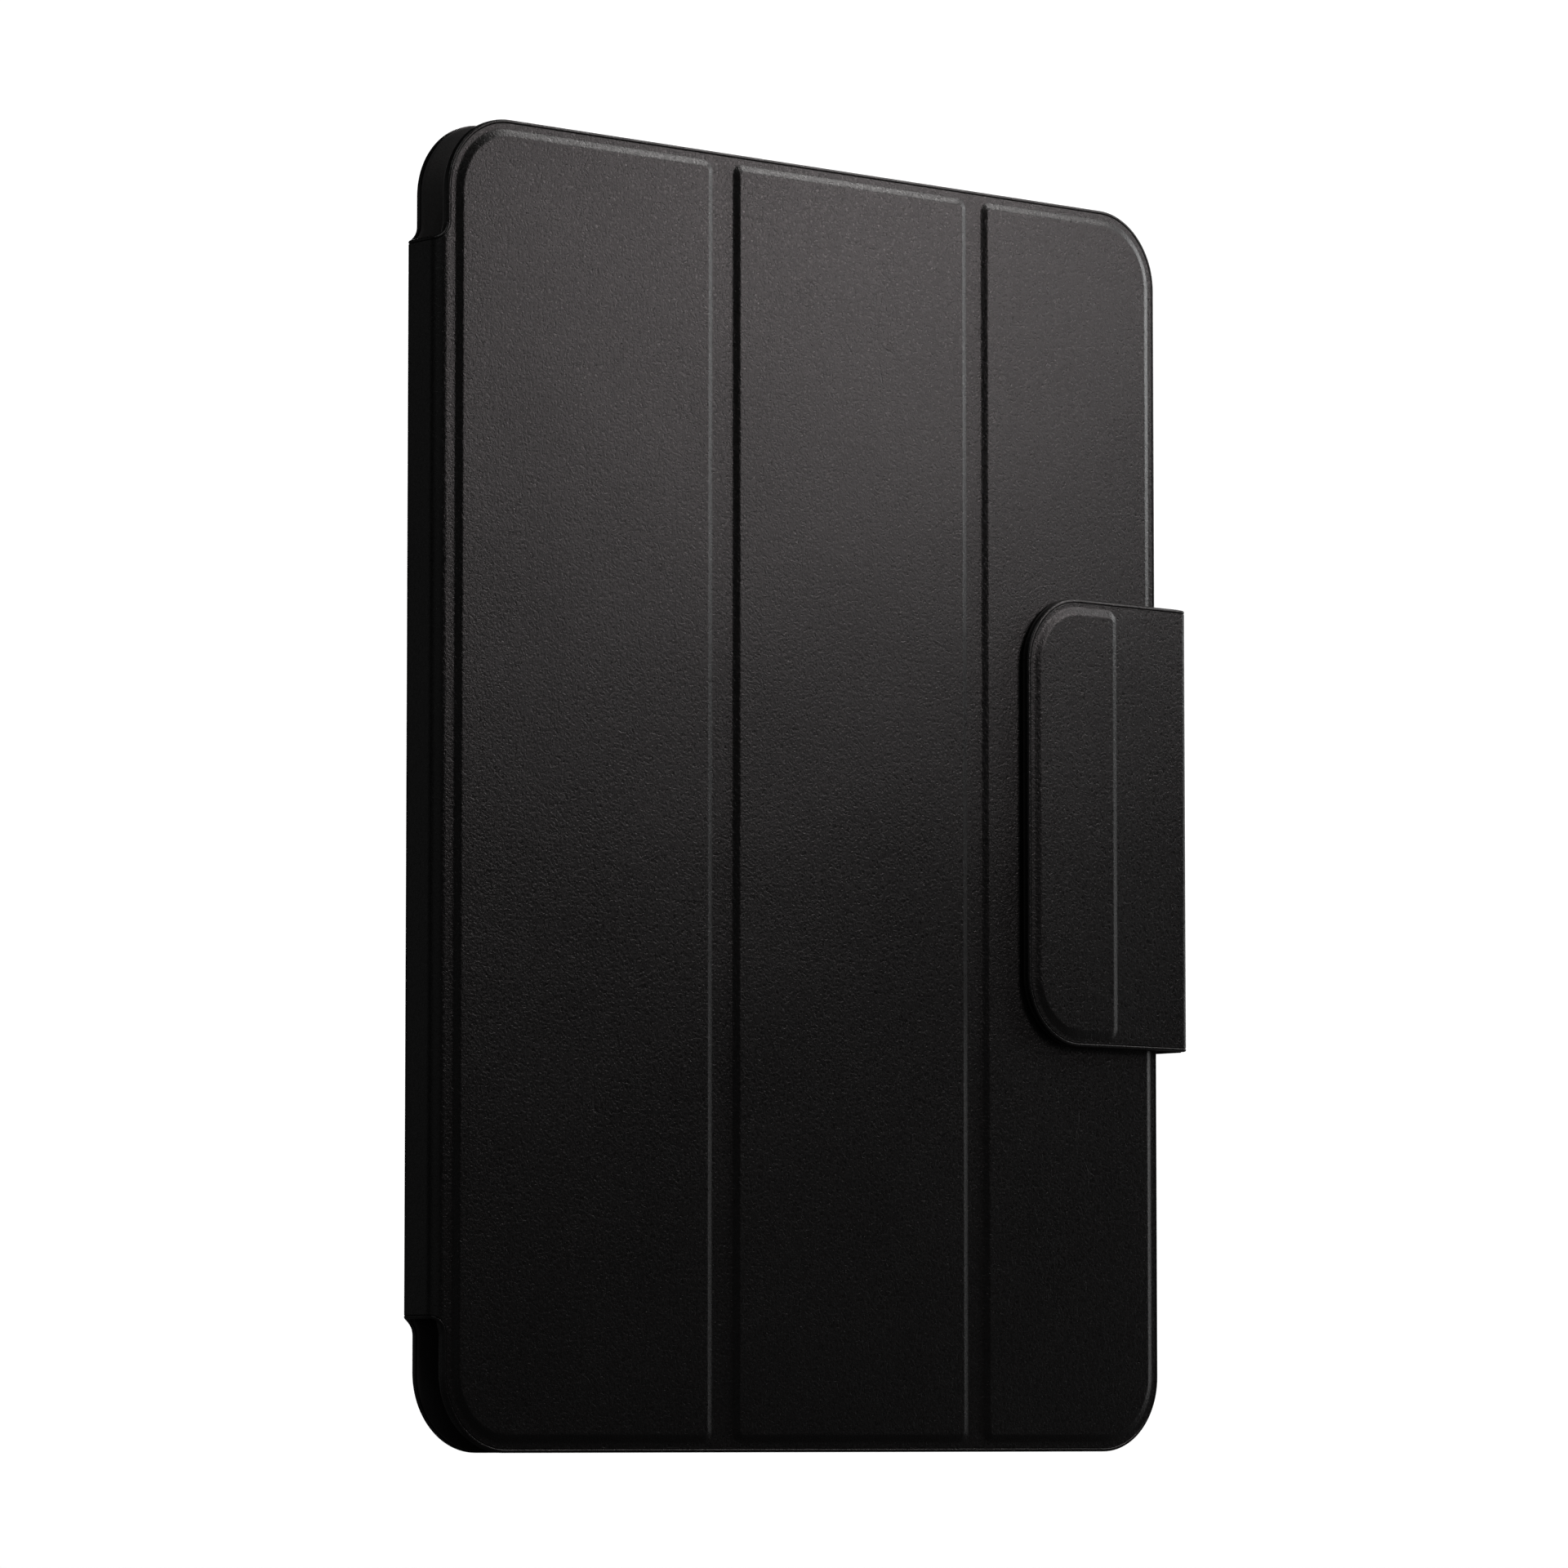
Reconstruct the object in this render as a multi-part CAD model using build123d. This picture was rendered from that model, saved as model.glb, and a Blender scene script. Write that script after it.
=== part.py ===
from build123d import *
import os

# A folio case for an 11 inch tablet, closed and standing upright on its bottom edge.
# X runs along the cover, from the spine to the flap. Y runs from the cover to the back. Z is up.
# Sizes are in mm. The shapes are drawn with X from the middle of the cover and Y from the face of
# the cover's border, and are moved at the end so that the origin is under the middle of the case.

# sheet materials
leather = 1.2
lining = 0.8
board = 0.6
strap_leather = 1.0
strap_lining = 0.5
tab_board_thickness = 0.5

# plates
case_height = 251.0
cover_width = 185.0
back_width = 184.1
corner_radius = 15.0
tablet_gap = 6.1

# panels of the cover: the raised parts stand in from the edges and from the two fold lines
emboss_inset = 2.6
emboss_corner = 1.6
first_fold_x = -24.25
second_fold_x = 42.05
first_fold_margin = 3.35
second_fold_margin = 2.75
first_strip_half = 2.0
second_strip_half = 1.8
board_inset = 0.4

# spine
spine_face_x = -95.0
spine_low = 24.8
spine_high = 227.2
cover_bend_radius = 2.5
back_bend_radius = 2.2
spine_end_clearance = 0.3
spine_insert_inset = 3.0

# closing flap
flap_low = 80.75
flap_high = 170.75
flap_face_x = 99.6
flap_bend_radius = 2.0
tab_end_x = 54.6
tab_corner = 14.0
tab_gap = 0.3
pad_inset = 2.4
pad_end_x = 78.4

# window for the tablet's camera
window_size = 38.0
window_corner = 10.0
window_edge_gap = 6.5

# magnets and the steel plate that the flap closes on
hold_magnet = (8.0, 20.0)
hold_magnet_x = 66.0
hold_magnet_rows = 6
hold_magnet_pitch = 27.0
edge_magnet = (5.0, 18.0)
edge_magnet_x = 85.0
edge_magnet_heights = (28.0, 56.0, 195.0, 223.0)
wake_magnet_radius = 3.0
wake_magnet_place = (76.0, 205.0)
catch_plate = (15.0, 66.0)
catch_plate_x = 68.0
tab_magnet = (12.0, 18.0)
tab_magnet_pitch = 23.0

# depths that follow from the sheets
cover_back_y = leather + lining
back_face_y = cover_back_y + tablet_gap
back_border_y = back_face_y + lining + leather
back_outer_y = back_border_y + board
tab_lining_y = -board - tab_gap
tab_border_y = tab_lining_y - strap_lining - strap_leather
tab_pad_y = tab_border_y - tab_board_thickness
flap_middle = (flap_low + flap_high) / 2
flap_inner_radius = flap_bend_radius - strap_leather
flap_bend_x = flap_face_x - flap_bend_radius
flap_front_y = tab_border_y + flap_bend_radius
flap_rear_y = back_border_y - flap_bend_radius

to_origin = Pos(-(spine_face_x + flap_face_x) / 2, -(tab_pad_y + back_outer_y) / 2, 0)


def outline(x0, x1, z0, z1, left=0.0, right=0.0):
    """A flat outline between two X and two Z values, with a radius for each side's two corners."""
    face = Pos((x0 + x1) / 2, (z0 + z1) / 2) * Rectangle(x1 - x0, z1 - z0)
    if left:
        face = fillet(face.vertices().sort_by(Axis.X)[:2], left)
    if right:
        face = fillet(face.vertices().sort_by(Axis.X)[-2:], right)
    return face


def plate(face, y0, y1):
    """The outline made solid between two depths."""
    return extrude(Plane.XZ.offset(-y1) * face, y1 - y0)


def block(x0, x1, y0, y1, z0, z1):
    middle = Pos((x0 + x1) / 2, (y0 + y1) / 2, (z0 + z1) / 2)
    return middle * Box(x1 - x0, y1 - y0, z1 - z0)


def bend(centre, side, radii, flat_x, flat_y, z0, z1):
    """A sheet turned through a right angle, with a flat stretch at each end of the turn."""
    (cx, cy), (sx, sy), (inner, outer) = centre, side, radii
    ring = Circle(outer) - (Circle(inner) if inner else Sketch())
    profile = Pos(cx, cy) * (ring & Pos(sx * outer / 2, sy * outer / 2) * Rectangle(outer, outer))
    middle, width = (inner + outer) / 2, outer - inner
    if flat_x:
        profile += Pos(cx - sx * flat_x / 2, cy + sy * middle) * Rectangle(flat_x, width)
    if flat_y:
        profile += Pos(cx + sx * middle, cy - sy * flat_y / 2) * Rectangle(width, flat_y)
    return extrude(Pos(0, 0, z0) * profile, z1 - z0)


def save(name, shape):
    export_step(to_origin * shape, f"parts/{name}.step")


def save_panel(name, edge, raised, pockets):
    """A cover panel: leather formed over a board, with the lining behind both."""
    inside = offset(raised, -board_inset)
    skin = plate(edge, 0, leather) + plate(raised, -board, 0) - plate(inside, leather - board, leather)
    stiffener = plate(inside, leather - board, leather)
    for pocket in pockets:
        stiffener -= pocket
    save(f"{name}_panel_leather", skin)
    save(f"{name}_panel_board", stiffener)
    save(f"{name}_panel_lining", plate(edge, leather, cover_back_y))


def in_cover_board(face):
    return plate(face, leather - board, leather)


def make_cover():
    half = cover_width / 2
    top = case_height
    low, high = emboss_inset, case_height - emboss_inset
    round_emboss = corner_radius - emboss_inset
    cuts = (first_fold_x - first_strip_half, first_fold_x + first_strip_half)
    ends = (second_fold_x - second_strip_half, second_fold_x + second_strip_half)

    edge = outline(-half, cuts[0], 0, top, left=corner_radius)
    raised = outline(
        -half + emboss_inset, first_fold_x - first_fold_margin, low, high, round_emboss, emboss_corner
    )
    save_panel("inner", edge, raised, [])

    edge = outline(cuts[1], ends[0], 0, top)
    raised = outline(
        first_fold_x + first_fold_margin,
        second_fold_x - second_fold_margin,
        low,
        high,
        emboss_corner,
        emboss_corner,
    )
    save_panel("middle", edge, raised, [])

    edge_magnets = [
        in_cover_board(Pos(edge_magnet_x, z) * Rectangle(*edge_magnet)) for z in edge_magnet_heights
    ]
    wake = in_cover_board(Pos(*wake_magnet_place) * Circle(wake_magnet_radius))
    catch = in_cover_board(Pos(catch_plate_x, flap_middle) * Rectangle(*catch_plate))
    edge = outline(ends[1], half, 0, top, right=corner_radius)
    raised = outline(
        second_fold_x + second_fold_margin, half - emboss_inset, low, high, emboss_corner, round_emboss
    )
    save_panel("outer", edge, raised, [*edge_magnets, wake, catch])
    save("cover_edge_magnets", Compound(children=[m.solid() for m in edge_magnets]))
    save("wake_magnet", wake)
    save("flap_catch_plate", catch)

    for name, (x0, x1) in {"first_fold": cuts, "second_fold": ends}.items():
        save(f"{name}_leather", block(x0, x1, 0, leather, 0, top))
        save(f"{name}_lining", block(x0, x1, leather, cover_back_y, 0, top))


def make_spine():
    inner_x = spine_face_x + leather
    lining_x = inner_x + lining
    start = cover_bend_radius + spine_end_clearance
    end = back_border_y - back_bend_radius - spine_end_clearance
    low, high = spine_low + spine_insert_inset, spine_high - spine_insert_inset
    insert = block(inner_x - board, inner_x, start + board_inset, end - board_inset, low, high)
    save("spine_leather", block(spine_face_x, inner_x, start, end, spine_low, spine_high) - insert)
    save("spine_stiffener", insert)
    save("spine_lining", block(inner_x, lining_x, start, end, spine_low, spine_high))

    cover_bend = (spine_face_x + cover_bend_radius, cover_bend_radius)
    back_bend = (spine_face_x + back_bend_radius, back_border_y - back_bend_radius)
    back_flat = -back_width / 2 - back_bend[0]
    for name, centre, side, radius, flat in (
        ("cover_bend", cover_bend, (-1, -1), cover_bend_radius, 0),
        ("back_bend", back_bend, (-1, 1), back_bend_radius, back_flat),
    ):
        inner = radius - leather
        for sheet, radii in (("leather", (inner, radius)), ("lining", (inner - lining, inner))):
            shape = bend(centre, side, radii, flat, spine_end_clearance, spine_low, spine_high)
            save(f"{name}_{sheet}", shape)


def make_back():
    half = back_width / 2
    edge = outline(-half, half, 0, case_height, corner_radius, corner_radius)
    radius = corner_radius - emboss_inset
    raised = outline(
        -half + emboss_inset, half - emboss_inset, emboss_inset, case_height - emboss_inset, radius, radius
    )
    inside = offset(raised, -board_inset)
    middle = half - window_edge_gap - window_size / 2
    height = case_height - window_edge_gap - window_size / 2
    window = Pos(middle, height) * RectangleRounded(window_size, window_size, window_corner)
    through = plate(window, back_face_y - 1, back_outer_y + 1)

    lining_y = back_face_y + lining
    board_y = back_border_y - board
    places = [
        Pos(x, case_height / 2 + (row - (hold_magnet_rows - 1) / 2) * hold_magnet_pitch)
        for x in (-hold_magnet_x, hold_magnet_x)
        for row in range(hold_magnet_rows)
    ]
    stiffener_y = (lining_y, lining_y + board)
    magnets = [plate(place * Rectangle(*hold_magnet), *stiffener_y) for place in places]
    stiffener = plate(inside, *stiffener_y) - through
    for magnet in magnets:
        stiffener -= magnet
    skin = plate(edge, lining_y, back_border_y) + plate(raised, back_border_y, back_outer_y)
    save("back_leather", skin - plate(inside, *stiffener_y) - through)
    save("back_board", stiffener)
    save("back_lining", plate(edge, back_face_y, lining_y) - through)
    save("back_magnets", Compound(children=[m.solid() for m in magnets]))


def make_flap():
    low, high = flap_low, flap_high
    leather_radii = (flap_inner_radius, flap_bend_radius)
    lining_radii = (flap_inner_radius - strap_lining, flap_inner_radius)
    leather_x = flap_face_x - strap_leather
    lining_x = leather_x - strap_lining
    root_x = back_width / 2
    root_y = back_border_y - strap_leather

    save("flap_root_leather", block(root_x, flap_bend_x, root_y, back_border_y, low, high))
    save("flap_root_lining", block(root_x, flap_bend_x, root_y - strap_lining, root_y, low, high))
    save("flap_side_leather", block(leather_x, flap_face_x, flap_front_y, flap_rear_y, low, high))
    save("flap_side_lining", block(lining_x, leather_x, flap_front_y, flap_rear_y, low, high))
    for name, y, side in (("root", flap_rear_y, (1, 1)), ("front", flap_front_y, (1, -1))):
        for sheet, radii in (("leather", leather_radii), ("lining", lining_radii)):
            save(f"flap_{name}_bend_{sheet}", bend((flap_bend_x, y), side, radii, 0, 0, low, high))

    edge = outline(tab_end_x, flap_bend_x, low, high, left=tab_corner)
    raised = outline(
        tab_end_x + pad_inset,
        pad_end_x,
        low + pad_inset,
        high - pad_inset,
        tab_corner - pad_inset,
        emboss_corner,
    )
    inside = offset(raised, -board_inset)
    leather_y = tab_lining_y - strap_lining
    pad_depth = (leather_y - tab_board_thickness, leather_y)
    middle = (tab_end_x + pad_inset + pad_end_x) / 2
    magnets = [
        plate(Pos(middle, flap_middle + step * tab_magnet_pitch) * Rectangle(*tab_magnet), *pad_depth)
        for step in (-1, 0, 1)
    ]
    pad = plate(inside, *pad_depth)
    for magnet in magnets:
        pad -= magnet
    skin = plate(edge, tab_border_y, leather_y) + plate(raised, tab_pad_y, tab_border_y)
    save("tab_leather", skin - plate(inside, *pad_depth))
    save("tab_board", pad)
    save("tab_lining", plate(edge, leather_y, tab_lining_y))
    save("tab_magnets", Compound(children=[m.solid() for m in magnets]))


os.makedirs("parts", exist_ok=True)
make_cover()
make_spine()
make_back()
make_flap()
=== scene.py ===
"""Looks of a leather folio case for an 11 inch tablet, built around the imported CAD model.

The outer leather is one skin in real life: it runs over the cover, round the spine, over the back
and on into the closing strap. So it is laid out flat here, with u along the skin and z up, given its
rims, creases and raised panels as a height over that flat layout, and then wrapped along the line
that the case's outer face follows, seen from above. The linings are made the same way.
Lengths are in millimetres until a mesh is made.
"""

import math

import bpy
import numpy as np
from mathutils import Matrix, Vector
from mathutils.geometry import delaunay_2d_cdt


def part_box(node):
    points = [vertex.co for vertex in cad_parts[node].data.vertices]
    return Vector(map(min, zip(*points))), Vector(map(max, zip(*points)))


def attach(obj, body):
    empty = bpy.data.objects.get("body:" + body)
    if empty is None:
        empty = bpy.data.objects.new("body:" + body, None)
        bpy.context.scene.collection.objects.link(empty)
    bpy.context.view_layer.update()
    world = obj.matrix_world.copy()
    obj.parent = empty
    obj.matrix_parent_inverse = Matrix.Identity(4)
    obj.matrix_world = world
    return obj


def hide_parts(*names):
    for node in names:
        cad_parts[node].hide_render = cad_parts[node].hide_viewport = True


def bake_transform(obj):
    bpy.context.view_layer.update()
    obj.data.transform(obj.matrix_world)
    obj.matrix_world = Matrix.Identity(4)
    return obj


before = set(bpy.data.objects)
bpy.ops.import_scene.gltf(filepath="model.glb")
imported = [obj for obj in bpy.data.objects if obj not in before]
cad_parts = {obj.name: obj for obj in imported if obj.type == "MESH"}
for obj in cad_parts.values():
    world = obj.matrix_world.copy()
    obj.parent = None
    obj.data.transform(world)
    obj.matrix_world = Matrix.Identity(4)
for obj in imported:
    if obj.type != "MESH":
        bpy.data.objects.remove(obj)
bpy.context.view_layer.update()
MM = 0.001
X, Y, Z = 0, 1, 2


def cad(node):
    """A CAD node's lowest and highest corners, in millimetres."""
    low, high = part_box(node)
    return np.array(low) / MM, np.array(high) / MM


# ---------------------------------------------------------------- sizes read from the CAD nodes
first_fold = cad("first_fold_leather")
second_fold = cad("second_fold_leather")
inner_panel = cad("inner_panel_leather")
outer_panel = cad("outer_panel_leather")
spine_skin = cad("spine_leather")
spine_insert = cad("spine_stiffener")
back_skin = cad("back_leather")
root_skin = cad("flap_root_leather")
side_skin = cad("flap_side_leather")
front_bend = cad("flap_front_bend_leather")
tab_skin = cad("tab_leather")

cover_face = first_fold[0][Y]
leather = first_fold[1][Y] - cover_face
lining = np.ptp(cad("first_fold_lining"), axis=0)[Y]
panel_rise = cover_face - inner_panel[0][Y]
height = inner_panel[1][Z]
cover_left, cover_right = inner_panel[0][X], outer_panel[1][X]
spine_face = spine_skin[0][X]
spine_low, spine_high = spine_skin[0][Z], spine_skin[1][Z]
back_face = root_skin[1][Y]
back_left, back_right = back_skin[0][X], back_skin[1][X]
strap_face = side_skin[1][X]
strap_leather = strap_face - side_skin[0][X]
strap_lining = np.ptp(cad("flap_side_lining"), axis=0)[X]
strap_low, strap_high = side_skin[0][Z], side_skin[1][Z]
strap_turn_x = root_skin[1][X]
tab_face = front_bend[0][Y]
pad_rise = tab_face - tab_skin[0][Y]
tab_end = tab_skin[0][X]

# ---------------------------------------------------------------- sizes that a box doesn't give
plate_corner = 15.0
tab_corner = 14.0
notch_corner = 3.0
strap_root_corner = 3.0
emboss_inset = 2.6
emboss_corner = 1.6
pad_inset = 2.4
pad_length = 21.4
first_fold_margin = 3.35
second_fold_margin = 2.75
back_turn = 2.2
window_size = 38.0
window_corner = 10.0
window_edge_gap = 6.5
board_thickness = 0.6
turned_rim = 0.35
lining_cut_back = 0.25
lining_window_lap = 0.1
strap_lining_proud = 0.16
# the boards' pockets behind the leather: where their sides begin and end, from the panel's outline
POCKET_STEPS = (-0.15, 0.3)
SPINE_POCKET_STEPS = (-0.15, -0.05)
# the lining is pressed in behind each fold: half the width of the flat, the side's reach and slope
FIRST_PRESS, SECOND_PRESS = 2.0, 1.8
press_depth = 0.28
press_reach = 0.9
press_slope = 1.4

cover_turn = cover_left - spine_face
strap_turn = strap_face - strap_turn_x

# ---------------------------------------------------------------- the line round the case
QUARTER = math.pi / 2


class Round:
    """The outer face's line seen from above: straight runs and quarter turns to the right."""

    def __init__(self, start, heading):
        self.point = np.array(start, float)
        self.heading = heading
        self.runs = []
        self.length = 0.0

    def go(self, length):
        self.runs.append((self.length, length, 0.0, self.point.copy(), self.heading))
        self.length += length
        self.point += length * np.array([math.cos(self.heading), math.sin(self.heading)])
        return self.length

    def turn(self, radius):
        self.runs.append((self.length, QUARTER * radius, radius, self.point.copy(), self.heading))
        self.length += QUARTER * radius
        along = np.array([math.cos(self.heading), math.sin(self.heading)])
        right = np.array([along[1], -along[0]])
        self.point += radius * (along + right)
        self.heading -= QUARTER
        return self.length

    def place(self, u, depth):
        """Points at u along the line and depth under the outer face."""
        at = np.zeros((len(u), 2))
        last = self.runs[-1]
        for run in self.runs:
            begin, length, radius, point, heading = run
            here = u >= begin - 1e-9
            if run is not last:
                here &= u < begin + length
            if run is self.runs[0]:
                here |= u < begin
            s = u[here] - begin
            angle = heading - (s / radius if radius else np.zeros_like(s))
            left = np.stack([-np.sin(angle), np.cos(angle)], 1)
            if radius:
                out = np.array([-math.sin(heading), math.cos(heading)])
                base = point - radius * out + radius * left
            else:
                base = point + s[:, None] * np.array([math.cos(heading), math.sin(heading)])
            at[here] = base - left * depth[here][:, None]
        return at


line = Round((cover_right, cover_face), math.pi)
cover_end = line.go(cover_right - cover_left)
spine_start = line.turn(cover_turn)
spine_end = line.go(back_face - back_turn - cover_face - cover_turn)
back_start = line.turn(back_turn)
root_end = line.go(strap_turn_x - spine_face - back_turn)
side_start = line.turn(strap_turn)
side_end = line.go(back_face - tab_face - 2 * strap_turn)
tab_start = line.turn(strap_turn)
skin_end = line.go(strap_turn_x - tab_end)


def u_cover(x):
    return cover_right - x


def u_spine(y):
    return spine_start + y - cover_face - cover_turn


def u_back(x):
    return back_start + x - spine_face - back_turn


back_edge, root_start = u_back(back_left), u_back(back_right)


# ---------------------------------------------------------------- flat outlines
def rounded(corners, inset=0.0):
    """A closed outline with square corners (u, z, radius) made round, moved inwards by inset."""
    points = []
    count = len(corners)
    for i, (u, z, radius) in enumerate(corners):
        here = np.array([u, z], float)
        into = here - np.array(corners[i - 1][:2])
        out = np.array(corners[(i + 1) % count][:2]) - here
        into, out = into / np.linalg.norm(into), out / np.linalg.norm(out)
        convex = into[0] * out[1] - into[1] * out[0] > 0
        corner = here + inset * np.array([-into[1] - out[1], into[0] + out[0]])
        r = max(radius - inset if convex else radius + inset, 0.05)
        centre = corner + r * (out - into)
        steps = 24 if radius > 9 else 9
        for a in np.linspace(0, QUARTER, steps + 1):
            points.append(centre + r * (into * math.sin(a) - out * math.cos(a)))
    return np.array(points)


def box_corners(u0, u1, z0, z1, low, high):
    """A rectangle's corners, with one radius for its low-u side and one for its high-u side."""
    return [(u0, z0, low), (u1, z0, high), (u1, z1, high), (u0, z1, low)]


def distance(points, loop):
    """Distance from each point to a closed outline."""
    a, b = loop, np.roll(loop, -1, 0)
    ab = b - a
    long_enough = (ab**2).sum(1) > 1e-12
    a, ab = a[long_enough], ab[long_enough]
    best = np.full(len(points), np.inf)
    for start in range(0, len(points), 2000):
        p = points[start : start + 2000]
        ap = p[:, None] - a[None]
        t = np.clip((ap * ab).sum(2) / (ab**2).sum(1), 0, 1)
        gap = np.linalg.norm(ap - t[..., None] * ab, axis=2)
        best[start : start + 2000] = gap.min(1)
    return best


def inside(points, loop):
    a, b = loop, np.roll(loop, -1, 0)
    hit = np.zeros(len(points), bool)
    for (ax, az), (bx, bz) in zip(a, b):
        if az == bz:
            continue
        crosses = (az > points[:, 1]) != (bz > points[:, 1])
        at = ax + (points[:, 1] - az) * (bx - ax) / (bz - az)
        hit ^= crosses & (points[:, 0] < at)
    return hit


def inwards(points, loop):
    """Distance to an outline, positive inside it."""
    return np.where(inside(points, loop), 1, -1) * distance(points, loop)


def ease(t):
    t = np.clip(t, 0, 1)
    return t * t * (3 - 2 * t)


# ---------------------------------------------------------------- profiles across the skin
# height over the border's face against the distance from the skin's cut edge
RIM = np.array(
    [
        (0.0, -0.42),
        (0.02, -0.27),
        (0.07, -0.15),
        (0.15, -0.056),
        (0.3, 0.0),
        (0.43, 0.02),
        (0.55, 0.0),
        (0.61, -0.06),
        (0.67, -0.14),
        (0.73, -0.06),
        (0.8, 0.0),
        (0.95, 0.0),
    ]
)
# share of a raised panel's height against the distance inside its outline: a bevel with soft ends
RISE = np.array(
    [
        (-0.9, 0.0),
        (-0.74, 0.022),
        (-0.55, 0.118),
        (-0.2, 0.354),
        (0.2, 0.646),
        (0.55, 0.882),
        (0.74, 0.978),
        (0.9, 1.0),
        (1.1, 1.0),
    ]
)
# depth over the lining's face against the distance from its cut edge
LINING_RIM = np.array([(0.0, -0.28), (0.02, -0.2), (0.08, -0.1), (0.17, -0.03), (0.3, 0.0)])


outer_corners = [
    (0, 0, plate_corner),
    (cover_end, 0, plate_corner),
    (cover_end, spine_low, notch_corner),
    (back_edge, spine_low, notch_corner),
    (back_edge, 0, plate_corner),
    (root_start, 0, plate_corner),
    (root_start, strap_low, strap_root_corner),
    (skin_end, strap_low, tab_corner),
    (skin_end, strap_high, tab_corner),
    (root_start, strap_high, strap_root_corner),
    (root_start, height, plate_corner),
    (back_edge, height, plate_corner),
    (back_edge, spine_high, notch_corner),
    (cover_end, spine_high, notch_corner),
    (cover_end, height, plate_corner),
    (0, height, plate_corner),
]
lining_corners = outer_corners[:6] + outer_corners[10:]
half = window_size / 2
window_middle = (
    u_back(back_right - window_edge_gap - half),
    height - window_edge_gap - half,
)
window_corners = box_corners(
    window_middle[0] - half,
    window_middle[0] + half,
    window_middle[1] - half,
    window_middle[1] + half,
    window_corner,
    window_corner,
)

low, high = emboss_inset, height - emboss_inset
round_emboss = plate_corner - emboss_inset
first_u = u_cover((first_fold[0][X] + first_fold[1][X]) / 2)
second_u = u_cover((second_fold[0][X] + second_fold[1][X]) / 2)
panels = {
    "outer": box_corners(
        emboss_inset, second_u - second_fold_margin, low, high, round_emboss, emboss_corner
    ),
    "middle": box_corners(
        second_u + second_fold_margin, first_u - first_fold_margin, low, high, emboss_corner, emboss_corner
    ),
    "inner": box_corners(
        first_u + first_fold_margin, cover_end - emboss_inset, low, high, emboss_corner, round_emboss
    ),
    "back": box_corners(
        back_edge + emboss_inset, root_start - emboss_inset, low, high, round_emboss, round_emboss
    ),
    "pad": box_corners(
        skin_end - pad_inset - pad_length,
        skin_end - pad_inset,
        strap_low + pad_inset,
        strap_high - pad_inset,
        emboss_corner,
        tab_corner - pad_inset,
    ),
}
spine_pocket = box_corners(
    u_spine(spine_insert[0][Y]),
    u_spine(spine_insert[1][Y]),
    spine_insert[0][Z],
    spine_insert[1][Z],
    0.1,
    0.1,
)

# the cuts between the pieces of the skin, at the edges of the CAD strips
cuts = [
    0,
    u_cover(second_fold[1][X]),
    u_cover(second_fold[0][X]),
    u_cover(first_fold[1][X]),
    u_cover(first_fold[0][X]),
    cover_end,
    u_spine(spine_skin[0][Y]),
    u_spine(spine_skin[1][Y]),
    back_edge,
    root_end,
    side_start,
    side_end,
    tab_start,
    skin_end,
]
pieces = [
    "outer_panel",
    "second_fold",
    "middle_panel",
    "first_fold",
    "inner_panel",
    "cover_bend",
    "spine",
    "back_bend",
    "back",
    "flap_root_bend",
    "flap_side",
    "flap_front_bend",
    "tab",
]


def curve_lines(begin, end, steps=14):
    """Lines across a turn. The first and last steps are thin, so that the shading runs on smoothly."""
    thin = (end - begin) * 0.004
    return [begin, begin + thin, *np.linspace(begin, end, steps + 1)[1:-1], end - thin, end]


def strip_lines(begin, end, pitch=0.25):
    return list(np.linspace(begin, end, round((end - begin) / pitch) + 1))


def triangulate(loops, lines):
    """Vertices and triangles of the flat layout, with every loop and line as edges."""
    points, edges = [], []
    for loop in loops:
        first = len(points)
        points.extend(Vector(p) for p in loop)
        edges.extend((first + i, first + (i + 1) % len(loop)) for i in range(len(loop)))
    for (u, z0), (_, z1) in lines:
        points.extend([Vector((u, z0)), Vector((u, z1))])
        edges.append((len(points) - 2, len(points) - 1))
    made = delaunay_2d_cdt(points, edges, [], 0, 1e-5, False)
    flat = np.array([tuple(p) for p in made[0]])
    triangles = np.array(made[2])
    a, b, c = (flat[triangles[:, i]] for i in range(3))
    area = (b[:, 0] - a[:, 0]) * (c[:, 1] - a[:, 1]) - (b[:, 1] - a[:, 1]) * (c[:, 0] - a[:, 0])
    triangles[area < 0] = triangles[area < 0][:, ::-1]
    return flat, triangles[abs(area) > 1e-9]


def kept(flat, triangles, edge, hole=None):
    """The triangles inside the edge and outside the hole."""
    middle = flat[triangles].mean(1)
    wanted = inside(middle, edge)
    if hole is not None:
        wanted &= ~inside(middle, hole)
    return triangles[wanted]


def solid(name, flat, triangles, front, back):
    """A closed piece of the layout: its outer face at one depth, its inner face at another."""
    used, index = np.unique(triangles, return_inverse=True)
    tri = index.reshape(-1, 3)
    count = len(used)
    u, z = flat[used, 0], flat[used, 1]
    vertices = np.zeros((2 * count, 3))
    sheet = np.zeros((2 * count, 3))
    for layer, depth in enumerate((front[used], back[used])):
        rows = slice(layer * count, (layer + 1) * count)
        vertices[rows, :2] = line.place(u, depth)
        vertices[rows, 2] = z
        sheet[rows] = np.stack([u, z, depth], 1)
    tri = tri.tolist()
    edges = dict.fromkeys(edge for a, b, c in tri for edge in ((a, b), (b, c), (c, a)))
    walls = [(b + count, a + count, a, b) for a, b in edges if (b, a) not in edges]
    faces = [(a, c, b) for a, b, c in tri]
    faces += [(a + count, b + count, c + count) for a, b, c in tri]
    mesh = bpy.data.meshes.new(name)
    mesh.from_pydata((vertices * MM).tolist(), [], faces + walls)
    mesh.attributes.new("sheet", "FLOAT_VECTOR", "POINT").data.foreach_set("vector", sheet.ravel())
    mesh.validate()
    mesh.shade_smooth()
    mesh.set_sharp_from_angle(angle=math.radians(38))
    piece = bpy.data.objects.new(name, mesh)
    bpy.context.scene.collection.objects.link(piece)
    return piece


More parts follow.
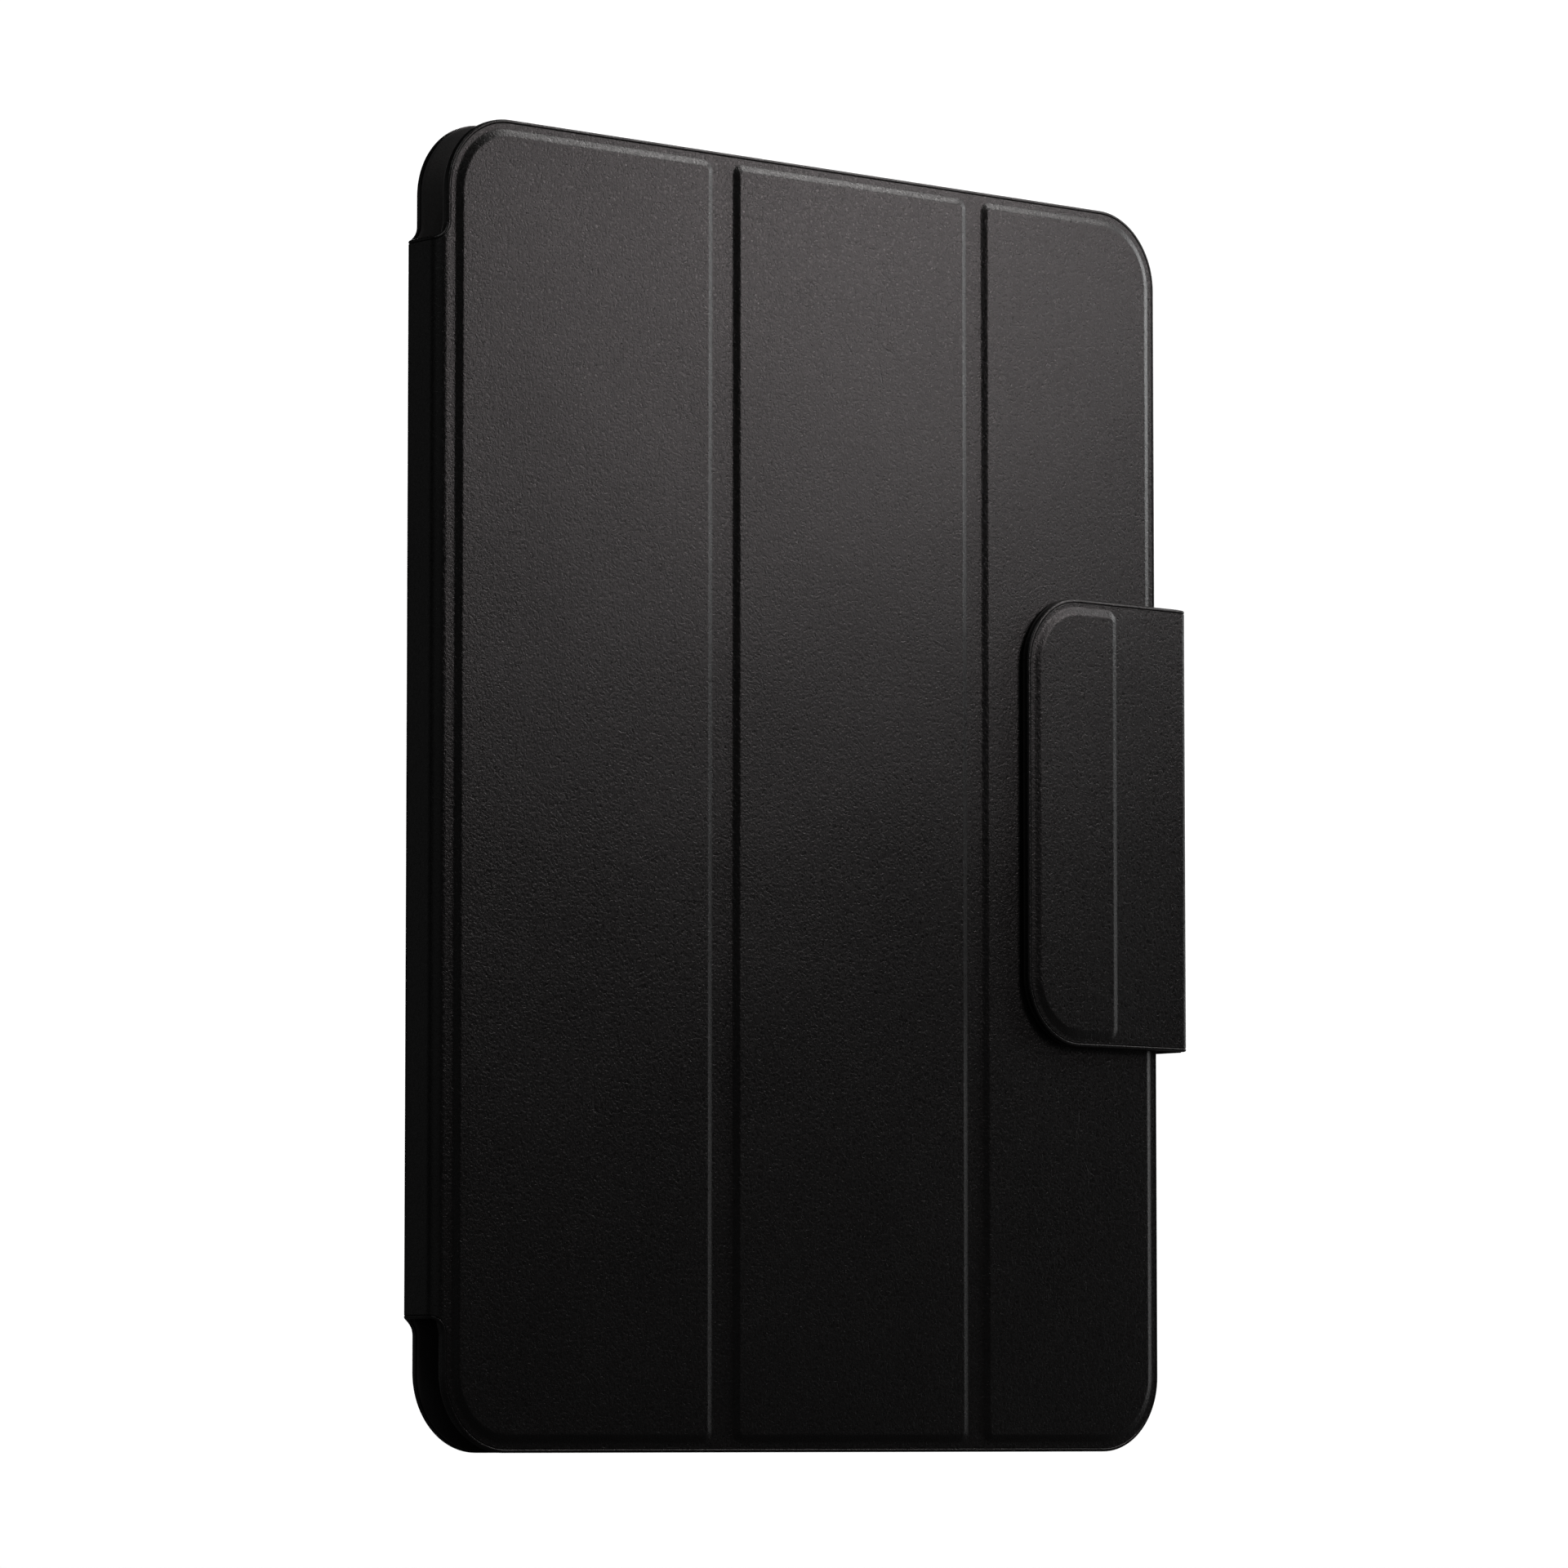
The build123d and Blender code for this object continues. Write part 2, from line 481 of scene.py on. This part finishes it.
def split(suffix, flat, triangles, front, back, names):
    """One closed piece for each body and strip."""
    middle = flat[triangles].mean(1)[:, 0]
    made = {}
    for i, name in enumerate(pieces):
        if name in names:
            mine = triangles[(middle > cuts[i]) & (middle < cuts[i + 1])]
            made[name] = solid(f"{name}_{suffix}", flat, mine, front, back)
    return made


TALL = (-2.0, height + 2.0)


def across(us, low=TALL[0], high=TALL[1]):
    return [((u, low), (u, high)) for u in us]


notch = (spine_low - notch_corner, spine_high + notch_corner)
strap_lines = curve_lines(root_end, side_start) + curve_lines(side_end, tab_start)
main_lines = (
    across(strip_lines(cuts[1], cuts[2]))
    + across(strip_lines(cuts[3], cuts[4]))
    + across(curve_lines(cover_end, spine_start)[1:])
    + across([cuts[6], cuts[7]])
    + across(curve_lines(spine_end, back_start))
    + across([cover_end, back_edge], *notch)
)


def make_leather():
    hole = rounded(window_corners, turned_rim)
    edge = rounded(outer_corners)
    loops = [rounded(outer_corners, d) for d in RIM[:, 0]]
    loops += [rounded(window_corners, turned_rim - d) for d in RIM[:, 0]]
    for corners in panels.values():
        loops += [rounded(corners, e) for e in sorted([*RISE[:, 0], *POCKET_STEPS])]
    loops += [rounded(spine_pocket, e) for e in SPINE_POCKET_STEPS]
    lines = main_lines + across(strap_lines)
    flat, triangles = triangulate(loops, lines)
    triangles = kept(flat, triangles, edge, hole)

    rim = np.minimum(distance(flat, edge), distance(flat, hole))
    top = np.interp(rim, RIM[:, 0], RIM[:, 1])
    on_strap = ease((flat[:, 0] - root_start) / 2)
    under = leather + (strap_leather - leather) * on_strap
    for name, corners in panels.items():
        e = inwards(flat, rounded(corners))
        tall = pad_rise if name == "pad" else panel_rise
        top += tall * np.interp(e, RISE[:, 0], RISE[:, 1])
        pocket = ease((e - POCKET_STEPS[0]) / (POCKET_STEPS[1] - POCKET_STEPS[0]))
        if name == "back":
            pocket *= distance(flat, hole) > turned_rim + 0.01
            pocket *= ~inside(flat, hole)
        under -= (pad_rise if name == "pad" else board_thickness) * pocket
    begin, end = SPINE_POCKET_STEPS
    under -= board_thickness * ease((inwards(flat, rounded(spine_pocket)) - begin) / (end - begin))
    return split("leather_skin", flat, triangles, -top, under, pieces)


def make_lining():
    edge = rounded(lining_corners, lining_cut_back)
    hole = rounded(window_corners, -lining_window_lap)
    loops = [rounded(lining_corners, lining_cut_back + d) for d in LINING_RIM[:, 0]]
    loops += [rounded(window_corners, -lining_window_lap - d) for d in LINING_RIM[:, 0]]
    press = ((first_u, FIRST_PRESS), (second_u, SECOND_PRESS))
    lines = list(main_lines)
    for u, width in press:
        for side in (-1, 1):
            lines += across([u + side * (width + step) for step in (0.3, 0.6, press_reach)])
    flat, triangles = triangulate(loops, lines)
    triangles = kept(flat, triangles, edge, hole)
    rim = np.minimum(distance(flat, edge), distance(flat, hole))
    top = np.interp(rim, LINING_RIM[:, 0], LINING_RIM[:, 1])
    for u, width in press:
        top -= press_depth * ease((width + press_reach - abs(flat[:, 0] - u)) / press_slope)
    front = np.full(len(flat), leather)
    names = pieces[:9]
    return split("lining_skin", flat, triangles, front, leather + lining + top, names)


def make_strap_lining():
    proud = strap_lining_proud
    corners = [
        (root_start, strap_low - proud, 0.1),
        (skin_end + proud, strap_low - proud, tab_corner + proud),
        (skin_end + proud, strap_high + proud, tab_corner + proud),
        (root_start, strap_high + proud, 0.1),
    ]
    edge = rounded(corners)
    loops = [rounded(corners, d) for d in LINING_RIM[:, 0]]
    flat, triangles = triangulate(loops, across(strap_lines))
    triangles = kept(flat, triangles, edge)
    top = np.interp(distance(flat, edge), LINING_RIM[:, 0], LINING_RIM[:, 1]) * 0.7
    front = np.full(len(flat), strap_leather)
    back = strap_leather + strap_lining + top
    made = split("lining_skin", flat, triangles, front, back, pieces[8:])
    made["flap_root"] = made.pop("back")
    made["flap_root"].name = "flap_root_lining_skin"
    return made


# ---------------------------------------------------------------- materials
class Nodes:
    """A short way to write a node tree."""

    def __init__(self, name):
        self.material = bpy.data.materials.new(name)
        self.material.use_nodes = True
        self.tree = self.material.node_tree
        self.tree.nodes.clear()
        self.shader = self.add("ShaderNodeBsdfPrincipled")
        output = self.add("ShaderNodeOutputMaterial")
        self.link(self.shader.outputs[0], output.inputs["Surface"])

    def add(self, kind, **settings):
        node = self.tree.nodes.new(kind)
        for key, value in settings.items():
            setattr(node, key, value)
        return node

    def link(self, a, b):
        self.tree.links.new(a, b)

    def put(self, value, socket):
        if isinstance(value, bpy.types.NodeSocket):
            self.link(value, socket)
        else:
            socket.default_value = value

    def sheet(self):
        """Millimetres along the skin, up, and through it: the same at every pose."""
        return self.add("ShaderNodeAttribute", attribute_name="sheet").outputs["Vector"]

    def place(self):
        """Millimetres in the object's own frame."""
        scale = self.add("ShaderNodeVectorMath", operation="SCALE")
        self.link(self.add("ShaderNodeTexCoord").outputs["Object"], scale.inputs[0])
        scale.inputs["Scale"].default_value = 1 / MM
        return scale.outputs[0]

    def noise(self, vector, scale, detail=2.0, rough=0.5, distortion=0.0):
        node = self.add("ShaderNodeTexNoise")
        self.link(vector, node.inputs["Vector"])
        node.inputs["Scale"].default_value = scale
        node.inputs["Detail"].default_value = detail
        node.inputs["Roughness"].default_value = rough
        node.inputs["Distortion"].default_value = distortion
        return node.outputs[0]

    def cells(self, vector, scale, feature="SMOOTH_F1", smooth=0.6):
        node = self.add("ShaderNodeTexVoronoi", feature=feature)
        self.link(vector, node.inputs["Vector"])
        node.inputs["Scale"].default_value = scale
        if feature == "SMOOTH_F1":
            node.inputs["Smoothness"].default_value = smooth
        return node.outputs["Distance"]

    def stretch(self, vector, scale, turn=0.0):
        node = self.add("ShaderNodeMapping")
        self.link(vector, node.inputs["Vector"])
        node.inputs["Scale"].default_value = scale
        node.inputs["Rotation"].default_value = (0, 0, turn)
        return node.outputs[0]

    def spot(self, vector, place, reach):
        """1 near a place on the flat skin, falling softly to 0 at its reach."""
        node = self.add("ShaderNodeVectorMath", operation="DISTANCE")
        self.link(self.stretch(vector, (1.0, 1.0, 0.0)), node.inputs[0])
        node.inputs[1].default_value = (*place, 0.0)
        return self.span(node.outputs["Value"], 0.5 * reach, reach, 1.0, 0.0, True)

    def math(self, operation, a, b=0.0, c=0.0):
        node = self.add("ShaderNodeMath", operation=operation)
        for value, socket in zip((a, b, c), node.inputs):
            self.put(value, socket)
        return node.outputs[0]

    def span(self, value, low, high, to_low, to_high, smooth=False):
        node = self.add("ShaderNodeMapRange")
        node.interpolation_type = "SMOOTHSTEP" if smooth else "LINEAR"
        for v, socket in zip((value, low, high, to_low, to_high), node.inputs):
            self.put(v, socket)
        return node.outputs[0]

    def mix(self, factor, a, b):
        node = self.add("ShaderNodeMix", data_type="RGBA")
        self.put(factor, node.inputs[0])
        self.put(a, node.inputs[6])
        self.put(b, node.inputs[7])
        return node.outputs[2]

    def bump(self, height_value, depth_mm, below=None):
        node = self.add("ShaderNodeBump")
        node.inputs["Strength"].default_value = 1.0
        node.inputs["Distance"].default_value = abs(depth_mm) * MM
        node.invert = depth_mm < 0
        self.link(height_value, node.inputs["Height"])
        if below is not None:
            self.link(below, node.inputs["Normal"])
        return node.outputs[0]


# where the hide has its natural creases: a place along the skin and up it, and a reach
CREASED = (
    ((77, 217), 13),
    ((66, 124), 15),
    ((22, 60), 11),
    ((150, 70), 10),
    ((262, 188), 16),
    ((330, 72), 14),
)


def leather_material():
    n = Nodes("leather")
    at = n.sheet()
    warp = n.noise(at, 0.35, 2.0)
    grain = n.noise(at, 1.75, 3.0, 0.6, 0.9)
    wrinkles = n.noise(n.stretch(at, (1.0, 0.5, 1.0), 0.5), 2.2, 2.0, 0.5, 1.8)
    pebbles = n.cells(n.stretch(at, (1.0, 0.8, 1.0)), 2.0, smooth=0.8)
    clouds = n.noise(at, 0.035, 3.0)
    waves = n.noise(at, 0.018, 1.0)
    # a few fine natural creases, in patches
    veins = n.cells(n.stretch(at, (1.0, 0.6, 1.0), 0.9), 0.14, "DISTANCE_TO_EDGE")
    wander = n.math("MULTIPLY_ADD", warp, 0.16, veins)
    fine = n.span(wander, 0.075, 0.095, 1.0, 0.0, True)
    patch = 0.0
    for place, reach in CREASED:
        patch = n.math("MAXIMUM", patch, n.spot(at, place, reach))
    patch = n.math("MULTIPLY", patch, n.span(n.noise(at, 0.11, 1.0), 0.42, 0.6, 0.0, 1.0, True))
    crease = n.math("MULTIPLY", fine, patch)

    body = n.mix(clouds, (0.005, 0.0048, 0.0048, 1), (0.0076, 0.0073, 0.0072, 1))
    pores = n.span(grain, 0.35, 0.65, 0.0, 0.3)
    n.link(n.mix(pores, body, (0.0033, 0.0033, 0.0033, 1)), n.shader.inputs["Base Color"])
    rough = n.span(grain, 0.3, 0.7, 0.22, 0.36)
    rough = n.math("MULTIPLY_ADD", clouds, 0.04, rough)
    n.link(rough, n.shader.inputs["Roughness"])
    normal = n.bump(waves, 0.5)
    normal = n.bump(pebbles, 0.014, normal)
    normal = n.bump(grain, 0.085, normal)
    normal = n.bump(wrinkles, 0.03, normal)
    normal = n.bump(crease, -0.03, normal)
    n.link(normal, n.shader.inputs["Normal"])
    n.shader.inputs["Specular IOR Level"].default_value = 0.5
    return n.material


def lining_material():
    n = Nodes("microfibre")
    at = n.sheet()
    nap = n.noise(at, 3.2, 3.0, 0.6)
    strokes = n.noise(n.stretch(at, (0.035, 0.012, 1.0), 0.35), 1.0, 3.0, 0.5, 0.8)
    stroked = n.span(strokes, 0.35, 0.65, 0.0, 1.0, True)
    body = n.mix(stroked, (0.036, 0.035, 0.035, 1), (0.056, 0.054, 0.053, 1))
    body = n.mix(n.span(nap, 0.35, 0.65, 0.0, 0.35), body, (0.02, 0.02, 0.02, 1))
    n.link(body, n.shader.inputs["Base Color"])
    n.link(n.span(nap, 0.3, 0.7, 0.86, 0.98), n.shader.inputs["Roughness"])
    n.link(n.bump(nap, 0.06), n.shader.inputs["Normal"])
    n.shader.inputs["Specular IOR Level"].default_value = 0.2
    n.shader.inputs["Sheen Weight"].default_value = 0.25
    n.shader.inputs["Sheen Roughness"].default_value = 0.45
    return n.material


def strap_lining_material():
    n = Nodes("split_leather")
    at = n.sheet()
    nap = n.noise(at, 2.2, 4.0, 0.65)
    body = n.mix(nap, (0.008, 0.0075, 0.007, 1), (0.018, 0.017, 0.016, 1))
    n.link(body, n.shader.inputs["Base Color"])
    n.link(n.span(nap, 0.3, 0.7, 0.6, 0.8), n.shader.inputs["Roughness"])
    n.link(n.bump(nap, 0.04), n.shader.inputs["Normal"])
    n.shader.inputs["Specular IOR Level"].default_value = 0.35
    return n.material


def board_material():
    n = Nodes("glass_fibre_board")
    at = n.place()
    weave_a = n.noise(n.stretch(at, (0.6, 4.0, 0.6)), 1.0, 2.0)
    weave_b = n.noise(n.stretch(at, (4.0, 0.6, 4.0)), 1.0, 2.0)
    weave = n.math("MULTIPLY", weave_a, weave_b)
    body = n.mix(n.span(weave, 0.15, 0.4, 0.0, 1.0), (0.06, 0.065, 0.06, 1), (0.16, 0.17, 0.15, 1))
    n.link(body, n.shader.inputs["Base Color"])
    n.link(n.span(weave, 0.15, 0.4, 0.55, 0.75), n.shader.inputs["Roughness"])
    n.link(n.bump(weave, 0.05), n.shader.inputs["Normal"])
    return n.material


def metal_material(name, colour, dark, rough):
    n = Nodes(name)
    at = n.place()
    fine = n.noise(n.stretch(at, (0.8, 6.0, 6.0)), 1.0, 3.0)
    n.link(n.mix(n.span(fine, 0.3, 0.7, 0.0, 1.0), dark, colour), n.shader.inputs["Base Color"])
    n.link(n.span(fine, 0.3, 0.7, rough, rough + 0.14), n.shader.inputs["Roughness"])
    n.link(n.bump(fine, 0.004), n.shader.inputs["Normal"])
    n.shader.inputs["Metallic"].default_value = 1.0
    return n.material


# ---------------------------------------------------------------- the pieces
RIDES = {
    "outer_panel": "cover_outer",
    "middle_panel": "cover_middle",
    "inner_panel": "cover_inner",
    "spine": "spine",
    "back": "back",
    "flap_root": "back",
    "flap_side": "flap_side",
    "tab": "flap_tab",
}
# strip: the body before it, the body after it, and the way across it seen from above
BENDS = {
    "second_fold": ("cover_middle", "cover_outer", (1, 0)),
    "first_fold": ("cover_inner", "cover_middle", (1, 0)),
    "cover_bend": ("spine", "cover_inner", (1, -1)),
    "back_bend": ("back", "spine", (-1, -1)),
    "flap_root_bend": ("back", "flap_side", (1, -1)),
    "flap_front_bend": ("flap_side", "flap_tab", (-1, -1)),
}


def blend(piece, before, after, way):
    """Bakes a strip's placement into its mesh as it stands; the strip is not bent here."""
    place = np.array([v.co for v in piece.data.vertices])
    way = np.array([*way, 0.0]) / np.linalg.norm(way)
    middle = place.mean(0)
    middle -= way * (middle @ way)
    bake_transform(piece)


def dress(made, layer, material):
    for name, piece in made.items():
        piece.data.materials.append(material)
        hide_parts(f"{name}_{layer}")
        if name in RIDES:
            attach(piece, RIDES[name])
        else:
            blend(piece, *BENDS[name])


leather_skin = make_leather()
dress(leather_skin, "leather", leather_material())
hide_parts("flap_root_leather")
dress(make_lining(), "lining", lining_material())
dress(make_strap_lining(), "lining", strap_lining_material())

nickel = metal_material("nickel", (0.62, 0.6, 0.56, 1), (0.5, 0.48, 0.45, 1), 0.22)
steel = metal_material("steel", (0.5, 0.51, 0.52, 1), (0.38, 0.39, 0.4, 1), 0.34)
board = board_material()
for name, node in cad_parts.items():
    if name.endswith(("_leather", "_lining")):
        continue
    finish = board
    if "magnet" in name:
        finish = nickel
    elif "plate" in name:
        finish = steel
    for row in node.material_slots:
        row.material = finish


# ---------------------------------------------------------------- floor, world, lights, camera
def make_floor():
    mesh = bpy.data.meshes.new("floor")
    reach = 12.0
    corners = [(-reach, -reach, 0), (reach, -reach, 0), (reach, reach, 0), (-reach, reach, 0)]
    mesh.from_pydata(corners, [], [(0, 1, 2, 3)])
    floor = bpy.data.objects.new("floor", mesh)
    bpy.context.scene.collection.objects.link(floor)
    floor.location.z = -0.0003
    material = bpy.data.materials.new("floor")
    material.use_nodes = True
    tree = material.node_tree
    tree.nodes.clear()
    clear = tree.nodes.new("ShaderNodeBsdfTransparent")
    matt = tree.nodes.new("ShaderNodeBsdfDiffuse")
    matt.inputs["Color"].default_value = (0.9, 0.9, 0.9, 1)
    mix = tree.nodes.new("ShaderNodeMixShader")
    mix.inputs[0].default_value = 0.1
    output = tree.nodes.new("ShaderNodeOutputMaterial")
    tree.links.new(clear.outputs[0], mix.inputs[1])
    tree.links.new(matt.outputs[0], mix.inputs[2])
    tree.links.new(mix.outputs[0], output.inputs["Surface"])
    mesh.materials.append(material)


def make_world():
    world = bpy.data.worlds.new("studio")
    world.use_nodes = True
    tree = world.node_tree
    tree.nodes.clear()
    path = tree.nodes.new("ShaderNodeLightPath")
    dim = tree.nodes.new("ShaderNodeBackground")
    dim.inputs["Color"].default_value = (1, 1, 1, 1)
    dim.inputs["Strength"].default_value = 0.008
    white = tree.nodes.new("ShaderNodeBackground")
    white.inputs["Color"].default_value = (1, 1, 1, 1)
    white.inputs["Strength"].default_value = 1.12
    mix = tree.nodes.new("ShaderNodeMixShader")
    output = tree.nodes.new("ShaderNodeOutputWorld")
    tree.links.new(path.outputs["Is Camera Ray"], mix.inputs[0])
    tree.links.new(dim.outputs[0], mix.inputs[1])
    tree.links.new(white.outputs[0], mix.inputs[2])
    tree.links.new(mix.outputs[0], output.inputs["Surface"])
    bpy.context.scene.world = world


def around(azimuth, elevation, reach, centre):
    """A place seen from centre at an azimuth from the front, positive to the right."""
    a, e = math.radians(azimuth), math.radians(elevation)
    return (
        centre[0] + reach * math.sin(a) * math.cos(e),
        centre[1] - reach * math.cos(a) * math.cos(e),
        centre[2] + reach * math.sin(e),
    )


def softbox(name, azimuth, elevation, reach, target, size, power, colour=(1, 1, 1)):
    """A soft rectangular light that looks at the target."""
    light = bpy.data.lights.new(name, "AREA")
    light.shape = "RECTANGLE"
    light.size, light.size_y = size
    light.energy = power
    light.color = colour
    lamp = bpy.data.objects.new(name, light)
    bpy.context.scene.collection.objects.link(lamp)
    lamp.location = around(azimuth, elevation, reach, target)
    lamp.rotation_euler = (Vector(target) - lamp.location).to_track_quat("-Z", "Y").to_euler()


make_floor()
make_world()
LOWER, MIDDLE, UPPER, TOP = (0, 0, 0.05), (0, 0, 0.125), (0, 0, 0.2), (0, 0, 0.25)
softbox("key", 41, 27, 0.5, MIDDLE, (0.1, 0.1), 0.34, (1, 0.9, 0.91))
softbox("near_key", 41, 21, 0.3, MIDDLE, (0.1, 0.1), 0.045, (1, 0.93, 0.93))
softbox("side", 82, 16, 0.5, UPPER, (0.2, 0.2), 0.42)
softbox("top", 60, 43, 0.4, TOP, (0.15, 0.15), 0.56, (1, 0.97, 0.96))
softbox("low_side", 86, 3, 0.5, LOWER, (0.2, 0.2), 0.09)
softbox("fill", -60, 55, 0.5, MIDDLE, (0.25, 0.25), 0.25)
softbox("edge", 99, 12, 0.9, MIDDLE, (0.4, 0.4), 0.4)
softbox("left", -132, 8, 0.9, MIDDLE, (0.6, 0.6), 0.09)
softbox("front_left", -48, 5, 0.9, MIDDLE, (1.2, 0.5), 0.19)
softbox("back", 137, 14, 0.9, MIDDLE, (0.5, 0.5), 3.2)

scene = bpy.context.scene
scene.view_settings.view_transform = "Standard"
scene.view_settings.look = "None"

camera_data = bpy.data.cameras.new("camera")
camera_data.sensor_width = 36
camera_data.lens = 167.01
camera_data.shift_y = 0.04
camera_data.clip_start = 0.05
camera_data.clip_end = 50
camera = bpy.data.objects.new("camera", camera_data)
scene.collection.objects.link(camera)
camera.location = (-0.9424, -1.0548, 0.004)
turn, pitch = math.radians(41.56), math.radians(4.596)
ahead = Vector((math.sin(turn) * math.cos(pitch), math.cos(turn) * math.cos(pitch), math.sin(pitch)))
camera.rotation_euler = ahead.to_track_quat("-Z", "Y").to_euler()
scene.camera = camera
